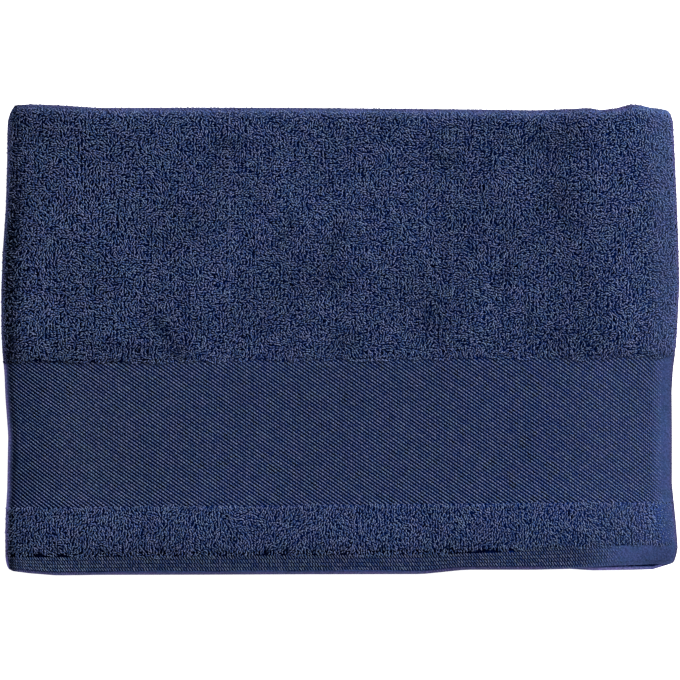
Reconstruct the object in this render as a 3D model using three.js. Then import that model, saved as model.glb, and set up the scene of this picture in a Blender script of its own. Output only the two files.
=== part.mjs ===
import * as THREE from "three";

// A bath towel, folded. Its two long sides are turned in under it until they meet at the
// middle, and the doubled cloth is then laid back and forth in six panels, so that both
// hems lie at the front. It is one sheet, so it is one solid.
// X runs along the hem, Y from the hem to the back folds and Z up.

// Sizes of the folded towel and of its cloth.
const FOLDED_WIDTH = 350;
const FOLDED_DEPTH = 243.6;
const CLOTH_LENGTH = 1400;
const FLAP_SLIT = 2.2;
const PLY_GAP = 0.5;
const PANEL_GAP = 0.5;

// Bands of the cloth, counted in from either end, with the thickness of one ply in each.
// The terry carries its pile on both faces, the border is flat woven, the hem is turned.
const TERRY_PLY = 3.2;
const BANDS = [
  { band: "hem edge", length: 1.2, ply: 1.5 },
  { band: "hem", length: 9.8, ply: 2.4 },
  { band: "terry strip", length: 23.2, ply: TERRY_PLY },
  { band: "twill border", length: 76, ply: 1.6 },
  { band: "terry", length: Infinity, ply: TERRY_PLY },
];
const BAND_STEP = 1.6;
const TOP_SAG = 0.4;

// The bands run slightly askew on the top panel: their shift along Y at the middle and
// for each millimetre across, and how far in from the hem they lie straight.
const BAND_SKEW = { middle: 2.3, slope: 0.0088 };
const HEM_REACH = 12;

// Lines across the top ply, from left to right: how far the hem, the hem of the flap
// beneath and the back fold lie inside the folded depth there.
const ACROSS = [
  { x: -175, hem: 4.4, under: 6.0, back: 3.6 },
  { x: -171.5, hem: 2.6, under: 4.6, back: 0.4 },
  { x: -163, hem: 1.6, under: 4.2, back: 0.0 },
  { x: -148, hem: 0.8, under: 3.4, back: 0.5 },
  { x: -125, hem: 0.5, under: 3.0, back: 1.5 },
  { x: -70, hem: 0.8, under: 3.2, back: 1.6 },
  { x: -15, hem: 0.9, under: 3.0, back: 2.1 },
  { x: 42, hem: 1.3, under: 3.2, back: 2.7 },
  { x: 64, hem: 3.6, under: 5.2, back: 3.0 },
  { x: 100, hem: 3.7, under: 5.0, back: 3.3 },
  { x: 121, hem: 4.2, under: 3.4, back: 2.3 },
  { x: 138, hem: 6.0, under: 3.2, back: 3.0 },
  { x: 140, hem: 6.1, under: 3.3, back: 1.9 },
  { x: 152, hem: 6.3, under: 3.8, back: 0.3 },
  { x: 163, hem: 6.2, under: 3.6, back: 1.7 },
  { x: 171.5, hem: 6.2, under: 5.4, back: 2.2 },
  { x: 175, hem: 7.2, under: 8.0, back: 4.0 },
];
const FLAP_LINES = [75, 121, 163];

// The two side folds of the top panel, from the hem back: how far each lies inside the
// folded width there.
const ALONG = [
  { fromHem: 0, left: 3.4, right: 3.0 },
  { fromHem: 4, left: 2.8, right: 2.0 },
  { fromHem: 9, left: 2.6, right: 1.4 },
  { fromHem: 22, left: 2.2, right: 2.2 },
  { fromHem: 33, left: 2.4, right: 3.6 },
  { fromHem: 44, left: 3.1, right: 4.7 },
  { fromHem: 72, left: 3.5, right: 4.1 },
  { fromHem: 92, left: 2.1, right: 4.5 },
  { fromHem: 103, left: 1.7, right: 3.9 },
  { fromHem: 115, left: 0.7, right: 2.0 },
  { fromHem: 125, left: 0.2, right: 1.2 },
  { fromHem: 146, left: 0.1, right: 0.4 },
  { fromHem: 168, left: 0.9, right: 0.8 },
  { fromHem: 192, left: 2.5, right: 1.4 },
  { fromHem: 218, left: 2.8, right: 2.3 },
  { fromHem: 236, left: 3.2, right: 2.9 },
];
const EDGE_REACH = 70;

// The panels from the top down: how far the side folds of each lie behind those of the
// top one, and the line of the fold that ends it, at the back and at the front in turn.
const PANELS = [
  { left: 0.0, right: 0.0, inset: 0.0, skew: 0, wave: 0 },
  { left: 1.8, right: 3.2, inset: 5.6, skew: 0.012, wave: 0.7 },
  { left: 1.2, right: 1.8, inset: 4.4, skew: -0.006, wave: 0.9 },
  { left: 3.0, right: 1.6, inset: 4.8, skew: 0.010, wave: 0.8 },
  { left: 1.4, right: 2.6, inset: 5.2, skew: 0.005, wave: 0.7 },
  { left: 2.6, right: 1.4, inset: 0.0, skew: 0.006, wave: 0.5 },
];
const WAVE_LENGTH = 95;
const SIDE_WAVE = 0.7;

// Soft unevenness of the pile of panels: how far its top falls at each side fold, how
// wide that slope is, how far the free hem droops, and how its plies swell.
const RIGHT_FALL = { drop: 5.2, reach: 54 };
const LEFT_FALL = { drop: 3.2, reach: 24 };
const HEM_DROOP = 2;
const SWELL = { height: 0.45, across: 58, along: 41, layer: 21 };

// Steps of a side fold and of a fold between two panels, and the longest flat step.
const SIDE_STEPS = 4;
const FOLD_STEPS = 5;
const LONGEST_STEP = 80;

const TURNED_PLY = PLY_GAP / 2 + TERRY_PLY;
const PANEL_THICK = 2 * TURNED_PLY;
const PANEL_RISE = PANEL_THICK + PANEL_GAP;
const PATH_RADIUS = PANEL_RISE / 2;
const FOLD_RADIUS = PATH_RADIUS + TURNED_PLY;
const STACK_HEIGHT = PANEL_RISE * PANELS.length - PANEL_GAP;

const { lerp, smoothstep, clamp } = THREE.MathUtils;

// The value of one column of a table at a place between its rows.
function readTable(rows, key, place, column) {
  const next = rows.findIndex((row) => row[key] >= place);
  if (next < 0) return rows.at(-1)[column];
  if (next === 0) return rows[0][column];
  const [low, high] = [rows[next - 1], rows[next]];
  return lerp(low[column], high[column], (place - low[key]) / (high[key] - low[key]));
}

// Thickness of one ply at a distance from the nearer end of the cloth.
function plyAt(fromEnd) {
  let edge = 0;
  for (const [index, row] of BANDS.entries()) {
    edge += row.length;
    if (fromEnd <= edge - BAND_STEP / 2) return row.ply;
    if (fromEnd < edge + BAND_STEP / 2) {
      const step = (fromEnd - edge) / BAND_STEP + 0.5;
      return lerp(row.ply, BANDS[index + 1].ply, step);
    }
  }
  return TERRY_PLY;
}

// The way of the doubled cloth, seen from the side: flat panels joined by half turns.
function layPanels() {
  const runs = [];
  let start = 0;
  let y = -FOLDED_DEPTH / 2;
  for (const [panel, { inset }] of PANELS.entries()) {
    const way = panel % 2 === 0 ? 1 : -1;
    const z = PANEL_RISE * (PANELS.length - 1 - panel) + PANEL_THICK / 2;
    if (panel === PANELS.length - 1) {
      runs.push({ panel, way, y, z, start, end: CLOTH_LENGTH, isFold: false });
      break;
    }
    const turnY = way * (FOLDED_DEPTH / 2 - inset - FOLD_RADIUS);
    const foldStart = start + Math.abs(turnY - y);
    runs.push({ panel, way, y, z, start, end: foldStart, isFold: false });
    start = foldStart + Math.PI * PATH_RADIUS;
    y = turnY;
    runs.push({ panel, way, y, z: z - PATH_RADIUS, start: foldStart, end: start, isFold: true });
  }
  return runs;
}
const RUNS = layPanels();

// Where the middle of the doubled cloth lies at a distance from the upper hem.
function placeOnPath(fromHem) {
  const run = RUNS.find(({ end }) => fromHem <= end + 1e-6);
  const done = (fromHem - run.start) / (run.end - run.start);
  const ply = plyAt(Math.min(fromHem, CLOTH_LENGTH - fromHem));
  if (run.isFold) {
    const turn = done * Math.PI;
    const normal = { y: Math.sin(turn), z: run.way * Math.cos(turn) };
    const reach = run.way * PATH_RADIUS;
    const [y, z] = [run.y + reach * normal.y, run.z + reach * normal.z];
    return { y, z, normal, ply, fromHem, level: run.panel + done, fold: run.panel + 1, blend: 0 };
  }
  const sagShare = run.panel === 0 ? TOP_SAG : 1;
  const z = run.z - sagShare * (TERRY_PLY - ply);
  const y = run.y + run.way * (fromHem - run.start);
  const blend = smoothstep(done, run.panel === 0 ? 0.5 : 0, 1);
  return { y, z, normal: { y: 0, z: run.way }, ply, fromHem, level: run.panel, fold: run.panel, blend };
}

// How far the lines near the upper hem stray along Y: the hem's own edge on the top ply,
// or on the flap beneath where under is 1, and past the hem the bands' straight skew.
function hemShift(x, under, fromHem) {
  const edge = lerp(readTable(ACROSS, "x", x, "hem"), readTable(ACROSS, "x", x, "under"), under);
  return lerp(edge, BAND_SKEW.middle + BAND_SKEW.slope * x, smoothstep(fromHem, 0, HEM_REACH));
}

// How far a fold, or the lower hem after the last panel, strays along Y.
function foldShift(fold, x) {
  if (fold === 1) return -readTable(ACROSS, "x", x, "back");
  const { skew, wave } = PANELS[fold - 1];
  return skew * x + wave * Math.sin((2 * Math.PI * x) / WAVE_LENGTH + fold);
}

// How far a side fold lies inside the folded width.
function sideInset(side, place) {
  const key = side < 0 ? "left" : "right";
  const topFold = readTable(ALONG, "fromHem", place.y + FOLDED_DEPTH / 2, key);
  const behindTop = (panel) => {
    if (panel === 0) return 0;
    const phase = 2 * panel + side;
    return PANELS[panel][key] + SIDE_WAVE * Math.sin((2 * Math.PI * place.y) / WAVE_LENGTH + phase);
  };
  const panel = Math.floor(place.level);
  const next = Math.min(panel + 1, PANELS.length - 1);
  return topFold + lerp(behindTop(panel), behindTop(next), place.level - panel);
}

// How far a point strays along Y, between the folds before and after its panel.
function lineShift(x, place, under) {
  const before = place.fold === 0 ? hemShift(x, under, place.fromHem) : foldShift(place.fold, x);
  if (place.blend === 0) return before;
  return lerp(before, foldShift(place.fold + 1, x), place.blend);
}

// How far the top of the pile of panels falls towards one of its side folds.
function sideFall(towardsFold, { drop, reach }) {
  return drop * clamp(1 - (FOLDED_WIDTH / 2 - towardsFold) / reach, 0, 1) ** 2;
}

// Lets the straight, even fold settle into its real, uneven one.
function settle(x, place, outward, under) {
  const side = Math.sign(x);
  const y = place.y + outward * place.normal.y;
  const z = place.z + outward * place.normal.z;
  const nearEdge = smoothstep(Math.abs(x), FOLDED_WIDTH / 2 - EDGE_REACH, FOLDED_WIDTH / 2);
  const fall = (sideFall(x, RIGHT_FALL) + sideFall(-x, LEFT_FALL)) / STACK_HEIGHT;
  const ripple = Math.sin(x / SWELL.across + 0.6) * Math.sin(y / SWELL.along + 1.1);
  const swell = SWELL.height * ripple * Math.sin(z / SWELL.layer);
  const droop = HEM_DROOP * clamp(1 - place.fromHem / HEM_REACH, 0, 1) ** 2;
  return new THREE.Vector3(
    x - side * nearEdge * sideInset(side, place),
    y + lineShift(x, place, under),
    z * (1 - fall) + swell - droop,
  );
}

// Lines along the cloth, from the left flap's edge over the top ply to the right flap's.
// A side fold is a half turn, a flat stretch stands square off its line.
function laySection() {
  const up = Math.PI / 2;
  const foldSteps = Array.from({ length: SIDE_STEPS + 1 }, (_, step) => lerp(up, -up, step / SIDE_STEPS));
  const fold = (side) => foldSteps.map((turn) => ({ side, turn: side * turn }));
  const flap = (side) => [FLAP_SLIT / 2, ...FLAP_LINES].map((x) => ({ x: side * x, side: 0, turn: -up }));
  const top = ACROSS.slice(2, -2).map(({ x }) => ({ x, side: 0, turn: up }));
  return [...flap(-1), ...fold(-1), ...top, ...fold(1), ...flap(1).reverse()];
}

// Distances from the upper hem at which the cloth has a row of points.
function layStations() {
  const topPanel = ALONG.map(({ fromHem }) => fromHem).filter((stop) => stop < RUNS[0].end - BAND_STEP);
  const stops = new Set([...topPanel, CLOTH_LENGTH]);
  for (const { start, end, isFold } of RUNS) {
    const steps = isFold ? FOLD_STEPS : 1;
    for (let step = 0; step <= steps; step++) stops.add(lerp(start, end, step / steps));
  }
  let edge = 0;
  for (const { length } of BANDS.slice(0, -1)) {
    edge += length;
    for (const stop of [edge - BAND_STEP / 2, edge + BAND_STEP / 2]) {
      stops.add(stop);
      stops.add(CLOTH_LENGTH - stop);
    }
  }
  const sorted = [...stops].sort((a, b) => a - b);
  return sorted.flatMap((stop, index) => {
    if (index === 0) return [stop];
    const before = sorted[index - 1];
    const steps = Math.ceil((stop - before) / LONGEST_STEP);
    return Array.from({ length: steps }, (_, step) => lerp(before, stop, (step + 1) / steps));
  });
}

// The cloth as a closed sheet: an outer and an inner face over the same grid of points.
function makeCloth() {
  const places = layStations().map(placeOnPath);
  const lines = laySection();
  const points = [];
  for (const place of places) {
    const outerRadius = PLY_GAP / 2 + place.ply;
    for (const { x, side, turn } of lines) {
      const base = side === 0 ? x : side * (FOLDED_WIDTH / 2 - outerRadius);
      const under = (1 - Math.sin(turn)) / 2;
      for (const radius of [outerRadius, PLY_GAP / 2]) {
        const across = base + side * radius * Math.cos(turn);
        points.push(settle(across, place, radius * Math.sin(turn), under));
      }
    }
  }
  const [outer, inner] = [0, 1];
  const pointAt = (row, line, face) => 2 * (row * lines.length + line) + face;
  const [lastRow, lastLine] = [places.length - 1, lines.length - 1];
  const index = [];
  const quad = (a, b, c, d) => index.push(a, b, c, a, c, d);
  const faceQuad = (face, row, line) => {
    const corners = [[row, line], [row, line + 1], [row + 1, line + 1], [row + 1, line]];
    if (face === inner) corners.reverse();
    quad(...corners.map(([r, l]) => pointAt(r, l, face)));
  };
  const rimQuad = ([row, line], [nextRow, nextLine]) => {
    quad(
      pointAt(row, line, outer),
      pointAt(nextRow, nextLine, outer),
      pointAt(nextRow, nextLine, inner),
      pointAt(row, line, inner),
    );
  };
  for (let row = 0; row < lastRow; row++) {
    for (let line = 0; line < lastLine; line++) {
      faceQuad(outer, row, line);
      faceQuad(inner, row, line);
    }
    rimQuad([row, 0], [row + 1, 0]);
    rimQuad([row + 1, lastLine], [row, lastLine]);
  }
  for (let line = 0; line < lastLine; line++) {
    rimQuad([0, line + 1], [0, line]);
    rimQuad([lastRow, line], [lastRow, line + 1]);
  }
  const cloth = new THREE.BufferGeometry().setFromPoints(points);
  cloth.setIndex(index);
  return cloth;
}

// Moves a shape so that its origin is the middle of the rectangle it stands on.
function standOnOrigin(geometry) {
  geometry.computeBoundingBox();
  const { min, max } = geometry.boundingBox;
  geometry.translate(-(min.x + max.x) / 2, -(min.y + max.y) / 2, -min.z);
  geometry.computeVertexNormals();
  return geometry;
}

const navyTerry = new THREE.MeshStandardMaterial({ color: 0x2a3657, roughness: 0.95, metalness: 0 });

const towel = new THREE.Mesh(standOnOrigin(makeCloth()), navyTerry);
towel.name = "towel";

const group = new THREE.Group();
group.add(towel);

export default group;
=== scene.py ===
import math
import bpy
import numpy as np
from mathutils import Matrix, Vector


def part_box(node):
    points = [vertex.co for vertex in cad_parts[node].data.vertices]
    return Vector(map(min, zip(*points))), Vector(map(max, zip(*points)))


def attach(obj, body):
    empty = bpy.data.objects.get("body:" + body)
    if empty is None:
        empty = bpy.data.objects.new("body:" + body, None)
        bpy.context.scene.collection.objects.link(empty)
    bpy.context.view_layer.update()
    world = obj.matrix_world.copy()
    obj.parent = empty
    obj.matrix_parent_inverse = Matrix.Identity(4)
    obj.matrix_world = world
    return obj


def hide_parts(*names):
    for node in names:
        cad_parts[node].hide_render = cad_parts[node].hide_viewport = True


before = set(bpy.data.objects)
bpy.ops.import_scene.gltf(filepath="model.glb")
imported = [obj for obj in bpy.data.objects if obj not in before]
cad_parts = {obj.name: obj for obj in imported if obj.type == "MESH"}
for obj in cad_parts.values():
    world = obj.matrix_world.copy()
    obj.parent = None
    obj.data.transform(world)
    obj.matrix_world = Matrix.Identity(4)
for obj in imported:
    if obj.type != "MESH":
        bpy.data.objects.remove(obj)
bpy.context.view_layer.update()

# Folded bath towel of navy terry. The cloth's sizes are in millimetres, as its tables give
# them, and each mesh is made in metres.
mm = 0.001
lowCorner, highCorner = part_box("towel")

# The cloth and how it is folded

fold = {
    "width": 350.0,
    "depth": 243.6,
    "clothWidth": 696.0,
    "clothLength": 1400.0,
    "flapSlit": 2.2,
    "plyGap": 0.5,
    "panelGap": 0.5,
    "terryPly": 3.2,
    "bandStep": 1.6,
    "topSag": 0.4,         # how much of its thinner bands the top panel sinks by
    "edgeReach": 70.0,
    "waveLength": 95.0,
    "sideWave": 0.7,
    "hemReach": 12.0,
    "hemDroop": 2.0,
    "bandSkew": 2.3,
    "bandSlope": 0.0088,
    "stripLift": 1.8,
    "stripLiftX": (60, 150),       # where it starts and is full, in mm from the middle
    "rightFall": (5.2, 54.0),      # how much lower the stack lies at a side, and how far in
    "leftFall": (3.2, 24.0),
    "swell": 0.45,
}

# bands in from either end of the cloth: name, length, thickness of one ply
bands = [
    ("hemEdge", 1.2, 1.5),
    ("hem", 9.8, 2.4),
    ("strip", 23.2, 3.2),
    ("border", 76.0, 1.6),
]

# across the top ply: x, then how far in the hem, the flap's hem and the back fold lie
across = np.array([
    (-175, 4.4, 6.0, 3.6),
    (-171.5, 2.6, 4.6, 0.4),
    (-163, 1.6, 4.2, 0.0),
    (-148, 0.5, 3.4, 0.5),
    (-125, 0.8, 3.0, 1.9),
    (-70, 0.9, 3.2, 1.7),
    (-15, 1.1, 3.0, 1.9),
    (42, 1.2, 3.2, 2.4),
    (64, 3.4, 5.2, 2.6),
    (100, 3.4, 5.0, 3.1),
    (121, 3.9, 3.1, 2.3),
    (129, 4.6, 3.1, 1.8),
    (136, 5.2, 3.0, 3.1),
    (140, 5.4, 3.0, 2.5),
    (146, 5.6, 3.2, 1.8),
    (152, 5.8, 3.5, -0.1),
    (157, 6.0, 3.5, 0.1),
    (163, 6.2, 3.4, 1.5),
    (171.5, 6.2, 4.8, 2.6),
    (175, 7.2, 8.0, 3.2),
])

# along the top panel: distance from the hem, then how far in its left and right folds lie
along = np.array([
    (0, 2.7, 2.6),
    (4, 2.1, 1.6),
    (9, 1.9, 1.0),
    (22, 1.8, 1.9),
    (33, 2.1, 2.9),
    (44, 2.8, 4.0),
    (72, 3.3, 3.95),
    (92, 1.8, 4.1),
    (103, 1.4, 3.4),
    (115, 0.3, 1.7),
    (125, -0.2, 1.0),
    (146, -0.3, 0.0),
    (168, 0.5, 0.4),
    (192, 2.1, 1.2),
    (218, 2.8, 2.3),
    (236, 3.0, 3.2),
])

# panels from the top down: left and right insets, the end fold's inset, its skew and wave
panels = np.array([
    (0.0, 0.0, 0.0, 0.0, 0.0),
    (1.8, 3.2, 5.6, 0.012, 0.7),
    (1.2, 1.8, 4.4, -0.006, 0.9),
    (3.0, 1.6, 4.8, 0.010, 0.8),
    (1.4, 2.6, 5.2, 0.005, 0.7),
    (2.6, 1.4, 0.0, 0.006, 0.5),
])

halfWidth, halfDepth = fold["width"] / 2, fold["depth"] / 2
innerRadius = fold["plyGap"] / 2
turnedPly = innerRadius + fold["terryPly"]
panelRise = 2 * turnedPly + fold["panelGap"]
pathRadius = panelRise / 2
stackHeight = panelRise * len(panels) - fold["panelGap"]
bandEnds = np.cumsum([length for _, length, _ in bands])
hemEnd, stripEnd, borderEnd = bandEnds[1:]
clothEnd = fold["clothLength"]


def ease(value, ends):
    # 0 before a stretch, 1 after it and soft between, for a stretch given by its two ends
    low, high = ends
    t = np.clip((value - low) / (high - low), 0, 1)
    return t * t * (3 - 2 * t)


def fade(value, ends):
    return 1 - ease(value, ends)


def mix(first, second, share):
    return first + (second - first) * share


def fromTable(table, x, number):
    # a value of one of the tables above, between its rows
    return np.interp(x, table[:, 0], table[:, number])


def fromEitherEnd(fromHem):
    return np.minimum(fromHem, clothEnd - fromHem)


def byBand(fromHem, values, step):
    # a value for each band and one for the terry, with a short slope between them
    stops = np.repeat(bandEnds, 2) + np.tile([-step / 2, step / 2], len(bandEnds))
    return np.interp(fromEitherEnd(fromHem), stops, np.repeat(values, 2)[1:-1])


def layPanels():
    # the doubled cloth from the side: flat panels joined by half turns
    laid = []
    start, y, last = 0.0, -halfDepth, len(panels) - 1
    for panel, (_, _, inset, _, _) in enumerate(panels):
        way = 1 if panel % 2 == 0 else -1
        z = panelRise * (last - panel) + turnedPly
        run = dict(panel=panel, way=way, y=y, z=z, start=start, end=clothEnd, turns=False)
        laid.append(run)
        if panel < last:
            turnY = way * (halfDepth - inset - pathRadius - turnedPly)
            run["end"] = start + abs(turnY - y)
            start, y = run["end"] + math.pi * pathRadius, turnY
            turn = {"y": y, "z": z - pathRadius, "start": run["end"], "end": start, "turns": True}
            laid.append({**run, **turn})
    return laid


runs = layPanels()
folds = [run for run in runs if run["turns"]]


def placeOnPath(fromHem):
    # where the middle of the doubled cloth lies at some distances from the upper hem
    s = np.asarray(fromHem, float)
    keys = ("y", "z", "normalY", "normalZ", "level", "before", "blend")
    place = {key: np.zeros_like(s) for key in keys}
    ply = byBand(s, [ply for _, _, ply in bands] + [fold["terryPly"]], fold["bandStep"])
    for run in runs:
        here = (s >= run["start"] - 1e-6) & (s <= run["end"] + 1e-6)
        done = (s[here] - run["start"]) / (run["end"] - run["start"])
        way, panel = run["way"], run["panel"]
        if run["turns"]:
            normalY, normalZ = np.sin(done * math.pi), way * np.cos(done * math.pi)
            y, z = run["y"] + way * pathRadius * normalY, run["z"] + way * pathRadius * normalZ
            values = y, z, normalY, normalZ, panel + done, panel + 1, 0
        else:
            topPanel = panel == 0
            y = run["y"] + way * (s[here] - run["start"])
            sag = (fold["topSag"] if topPanel else 1) * (fold["terryPly"] - ply[here])
            values = y, run["z"] - sag, 0, way, panel, panel, ease(done, (0.5 if topPanel else 0, 1))
        for key, value in zip(keys, values):
            place[key][here] = value
    place["fromHem"] = s
    place["outerRadius"] = innerRadius + ply
    return place


def foldShift(number, x):
    # how far a fold, or the lower hem after the last panel, strays along Y
    row = panels[np.clip(number.astype(int) - 1, 0, len(panels) - 1)]
    waved = row[..., 3] * x + row[..., 4] * np.sin(2 * np.pi * x / fold["waveLength"] + number)
    return np.where(number == 1, -fromTable(across, x, 3), waved)


def lineShift(x, place, under):
    edge = mix(fromTable(across, x, 1), fromTable(across, x, 2), under)
    straight = fold["bandSkew"] + fold["bandSlope"] * x
    nearHem = mix(edge, straight, ease(place["fromHem"], (0, fold["hemReach"])))
    lifted = np.interp(place["fromHem"], (0, hemEnd, stripEnd), (0, fold["stripLift"], 0))
    nearHem = nearHem + lifted * ease(x, fold["stripLiftX"])
    number = place["before"] + 0 * x
    before = np.where(number == 0, nearHem, foldShift(number, x))
    return mix(before, foldShift(number + 1, x), place["blend"])


def sideInset(side, place):
    # how far a side fold lies inside the folded width
    fromFront = place["y"] + halfDepth
    topFold = np.where(side < 0, fromTable(along, fromFront, 1), fromTable(along, fromFront, 2))
    panel = np.floor(place["level"] + 0 * side)

    def behindTop(number):
        wave = np.sin(2 * np.pi * place["y"] / fold["waveLength"] + 2 * number + side)
        inset = panels[number.astype(int), np.where(side < 0, 0, 1)]
        return np.where(number == 0, 0, inset + fold["sideWave"] * wave)

    here, below = behindTop(panel), behindTop(np.minimum(panel + 1, len(panels) - 1))
    return topFold + here + (below - here) * (place["level"] - panel)


def sideFall(towardsFold, fall):
    # how far the stack lies lower towards a side fold
    drop, reach = fall
    return drop * np.clip(1 - (halfWidth - towardsFold) / reach, 0, 1) ** 2


def settle(x, place, outward, under):
    # lets the straight, even fold settle into its real, uneven one
    y = place["y"] + outward * place["normalY"]
    z = place["z"] + outward * place["normalZ"]
    side = np.where(x < 0, -1.0, 1.0)
    nearEdge = ease(np.abs(x), (halfWidth - fold["edgeReach"], halfWidth))
    fall = sideFall(x, fold["rightFall"]) + sideFall(-x, fold["leftFall"])
    swell = fold["swell"] * np.sin(x / 58 + 0.6) * np.sin(y / 41 + 1.1) * np.sin(z / 21)
    droop = fold["hemDroop"] * np.clip(1 - place["fromHem"] / fold["hemReach"], 0, 1) ** 2
    return np.stack([
        x - side * nearEdge * sideInset(side, place),
        y + lineShift(x, place, under),
        z * (1 - fall / stackHeight) + swell - droop,
    ], axis=-1)


def clothPoint(place, side, x, turn, sunk):
    # a point of the cloth's outer face: on a flat stretch at x, or at a turn of a side fold
    radius = place["outerRadius"] - sunk
    base = np.where(side == 0, x, side * (halfWidth - place["outerRadius"]))
    reach = base + side * radius * np.cos(turn)
    return settle(reach, place, radius * np.sin(turn), (1 - np.sin(turn)) / 2)


def section(flapSteps, foldSteps, topSteps):
    # lines from the left flap's edge over the top ply to the right flap's edge
    up, lastX = math.pi / 2, 163
    nearFold = np.array([165, 166.8, 168.4, 169.6, 170.6, 171.4])
    flapX = np.linspace(fold["flapSlit"] / 2, lastX, flapSteps)
    topX = [*-nearFold[::-1], *np.linspace(-lastX, lastX, topSteps), *nearFold]
    turns = np.linspace(up, -up, foldSteps)
    return np.array([
        *((0, -x, -up) for x in flapX),
        *((-1, 0, -turn) for turn in turns),
        *((0, x, up) for x in topX),
        *((1, 0, turn) for turn in turns),
        *((0, x, -up) for x in flapX[::-1]),
    ], float).T


def findOffset():
    # from the whole cloth at full thickness to the solid's box
    side, x, turn = section(5, 12, 80)
    place = placeOnPath(np.linspace(0, clothEnd, 1400)[:, None])
    points = clothPoint(place, side[None], x[None], turn[None], 0).reshape(-1, 3) * mm
    low, high = points.min(0), points.max(0)
    middle = [(lowCorner[i] + highCorner[i]) / 2 - (low[i] + high[i]) / 2 for i in (0, 1)]
    return np.array([*middle, lowCorner[2] - low[2]])


offset = findOffset()
print("towel placed in its solid's box, moved by", offset.round(5))


def toMetres(points):
    return points.reshape(-1, 3) * mm + offset


def newMesh(name, points, faces, attributes=None):
    mesh = bpy.data.meshes.new(name)
    mesh.from_pydata(points.tolist(), [], faces)
    for key, values in (attributes or {}).items():
        kind, slot = ("FLOAT_VECTOR", "vector") if values.ndim == 2 else ("FLOAT", "value")
        layer = mesh.attributes.new(key, kind, "POINT")
        layer.data.foreach_set(slot, values.ravel().astype(np.float32))
    mesh.update()
    return mesh


def newObject(name, data):
    thing = bpy.data.objects.new(name, data)
    bpy.context.scene.collection.objects.link(thing)
    return thing


def gridFaces(rows, columns, first=0):
    r, c = np.meshgrid(np.arange(rows - 1), np.arange(columns - 1), indexing="ij")
    a = first + r * columns + c
    return np.stack([a, a + 1, a + columns + 1, a + columns], axis=-1).reshape(-1, 4).tolist()


# Materials

def nodeMaterial(name, look):
    material = bpy.data.materials.new(name)
    material.use_nodes = True
    shader = material.node_tree.nodes["Principled BSDF"]
    shader.inputs["Roughness"].default_value = look["roughness"]
    shader.inputs["Specular IOR Level"].default_value = 0.0
    shader.inputs["Sheen Weight"].default_value = look["sheen"]
    shader.inputs["Sheen Roughness"].default_value = look["sheenRoughness"]
    shader.inputs["Sheen Tint"].default_value = (0.62, 0.66, 1.0, 1)
    return material, material.node_tree, shader


def addNode(tree, kind, inputs=None, **settings):
    node = tree.nodes.new(kind)
    for key, value in settings.items():
        setattr(node, key, value)
    for key, value in (inputs or {}).items():
        setSocket(tree, node.inputs[key], value)
    return node


def setSocket(tree, socket, value):
    if isinstance(value, bpy.types.NodeSocket):
        tree.links.new(value, socket)
    else:
        socket.default_value = value


def maths(tree, operation, *values):
    return addNode(tree, "ShaderNodeMath", dict(enumerate(values)), operation=operation).outputs[0]


def times(tree, first, second):
    return maths(tree, "MULTIPLY", first, second)


def oneLess(tree, value):
    return maths(tree, "SUBTRACT", 1.0, value)


def markedBy(tree, name, output="Fac"):
    return addNode(tree, "ShaderNodeAttribute", attribute_name=name).outputs[output]


def objectPlace(tree):
    return addNode(tree, "ShaderNodeTexCoord").outputs["Object"]


def combine(tree, x, y, z):
    return addNode(tree, "ShaderNodeCombineXYZ", {"X": x, "Y": y, "Z": z}).outputs[0]


def mixColours(tree, share, first, second, blend="MIX"):
    node = addNode(tree, "ShaderNodeMix", data_type="RGBA", blend_type=blend)
    for number, value in ((0, share), (6, first), (7, second)):
        setSocket(tree, node.inputs[number], value)
    return node.outputs[2]


def rangeOf(tree, value, low, high, toLow, toHigh):
    inputs = {0: value, 1: low, 2: high, 3: toLow, 4: toHigh}
    return addNode(tree, "ShaderNodeMapRange", inputs, interpolation_type="SMOOTHSTEP").outputs[0]


def noiseOf(tree, place, scale, detail=2.0, roughness=0.5):
    inputs = {"Vector": place, "Scale": scale, "Detail": detail, "Roughness": roughness}
    return addNode(tree, "ShaderNodeTexNoise", inputs).outputs["Fac"]


def bumpInto(tree, shader, height, strength, distance):
    inputs = {"Strength": strength, "Distance": distance, "Height": height}
    bump = addNode(tree, "ShaderNodeBump", inputs)
    tree.links.new(bump.outputs["Normal"], shader.inputs["Normal"])


yarn = {
    "deep": (0.029, 0.055, 0.146, 1),      # the darkest loops
    "light": (0.101, 0.132, 0.225, 1),     # the lightest loops
    "root": (0.07, 0.16, 0.47, 1),         # painted shade where a loop leaves the ground: what is left of the colour there
    "gap": (0.0, 0.0055, 0.044, 1),        # the ground between loops, painted dark as their shade
    "deepestShade": (0.0002, 0.001, 0.009, 1),     # its darkest spots: painted deepest shade
    "haze": (0.046, 0.068, 0.168, 1),      # soft rims and bare cloth
    "fringe": (0.064, 0.061, 0.156, 1),    # the outermost edge, painted paler as a sheen along the outline
    "warm": (1.09, 0.965, 1.02, 1),
    "cool": (0.93, 1.02, 0.985, 1),
    "hueScale": 130,
    "patchScale": 24,
    "patchLow": 0.88,
    "patchHigh": 1.09,
    # painted shade and highlight of the yarn's twist
    "twistShadeScale": 1200,
    "twistShadeLow": 0.78,
    "twistShadeHigh": 1.22,
    "roughness": 0.92,
    "sheen": 0.18,
    "edgeSheen": 0.03,
    "sheenRoughness": 0.42,
    "fuzzScale": 2600,
    "fuzzHeight": 0.00022,
    "fuzz": 0.7,
    "darkest": 0.03,       # the least that any shade leaves
    "rootShadeTop": 0.97,
    "softRootShade": 0.25,      # how much of the painted root shade is left where it is hazed
    "hazed": 0.6,
}

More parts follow.
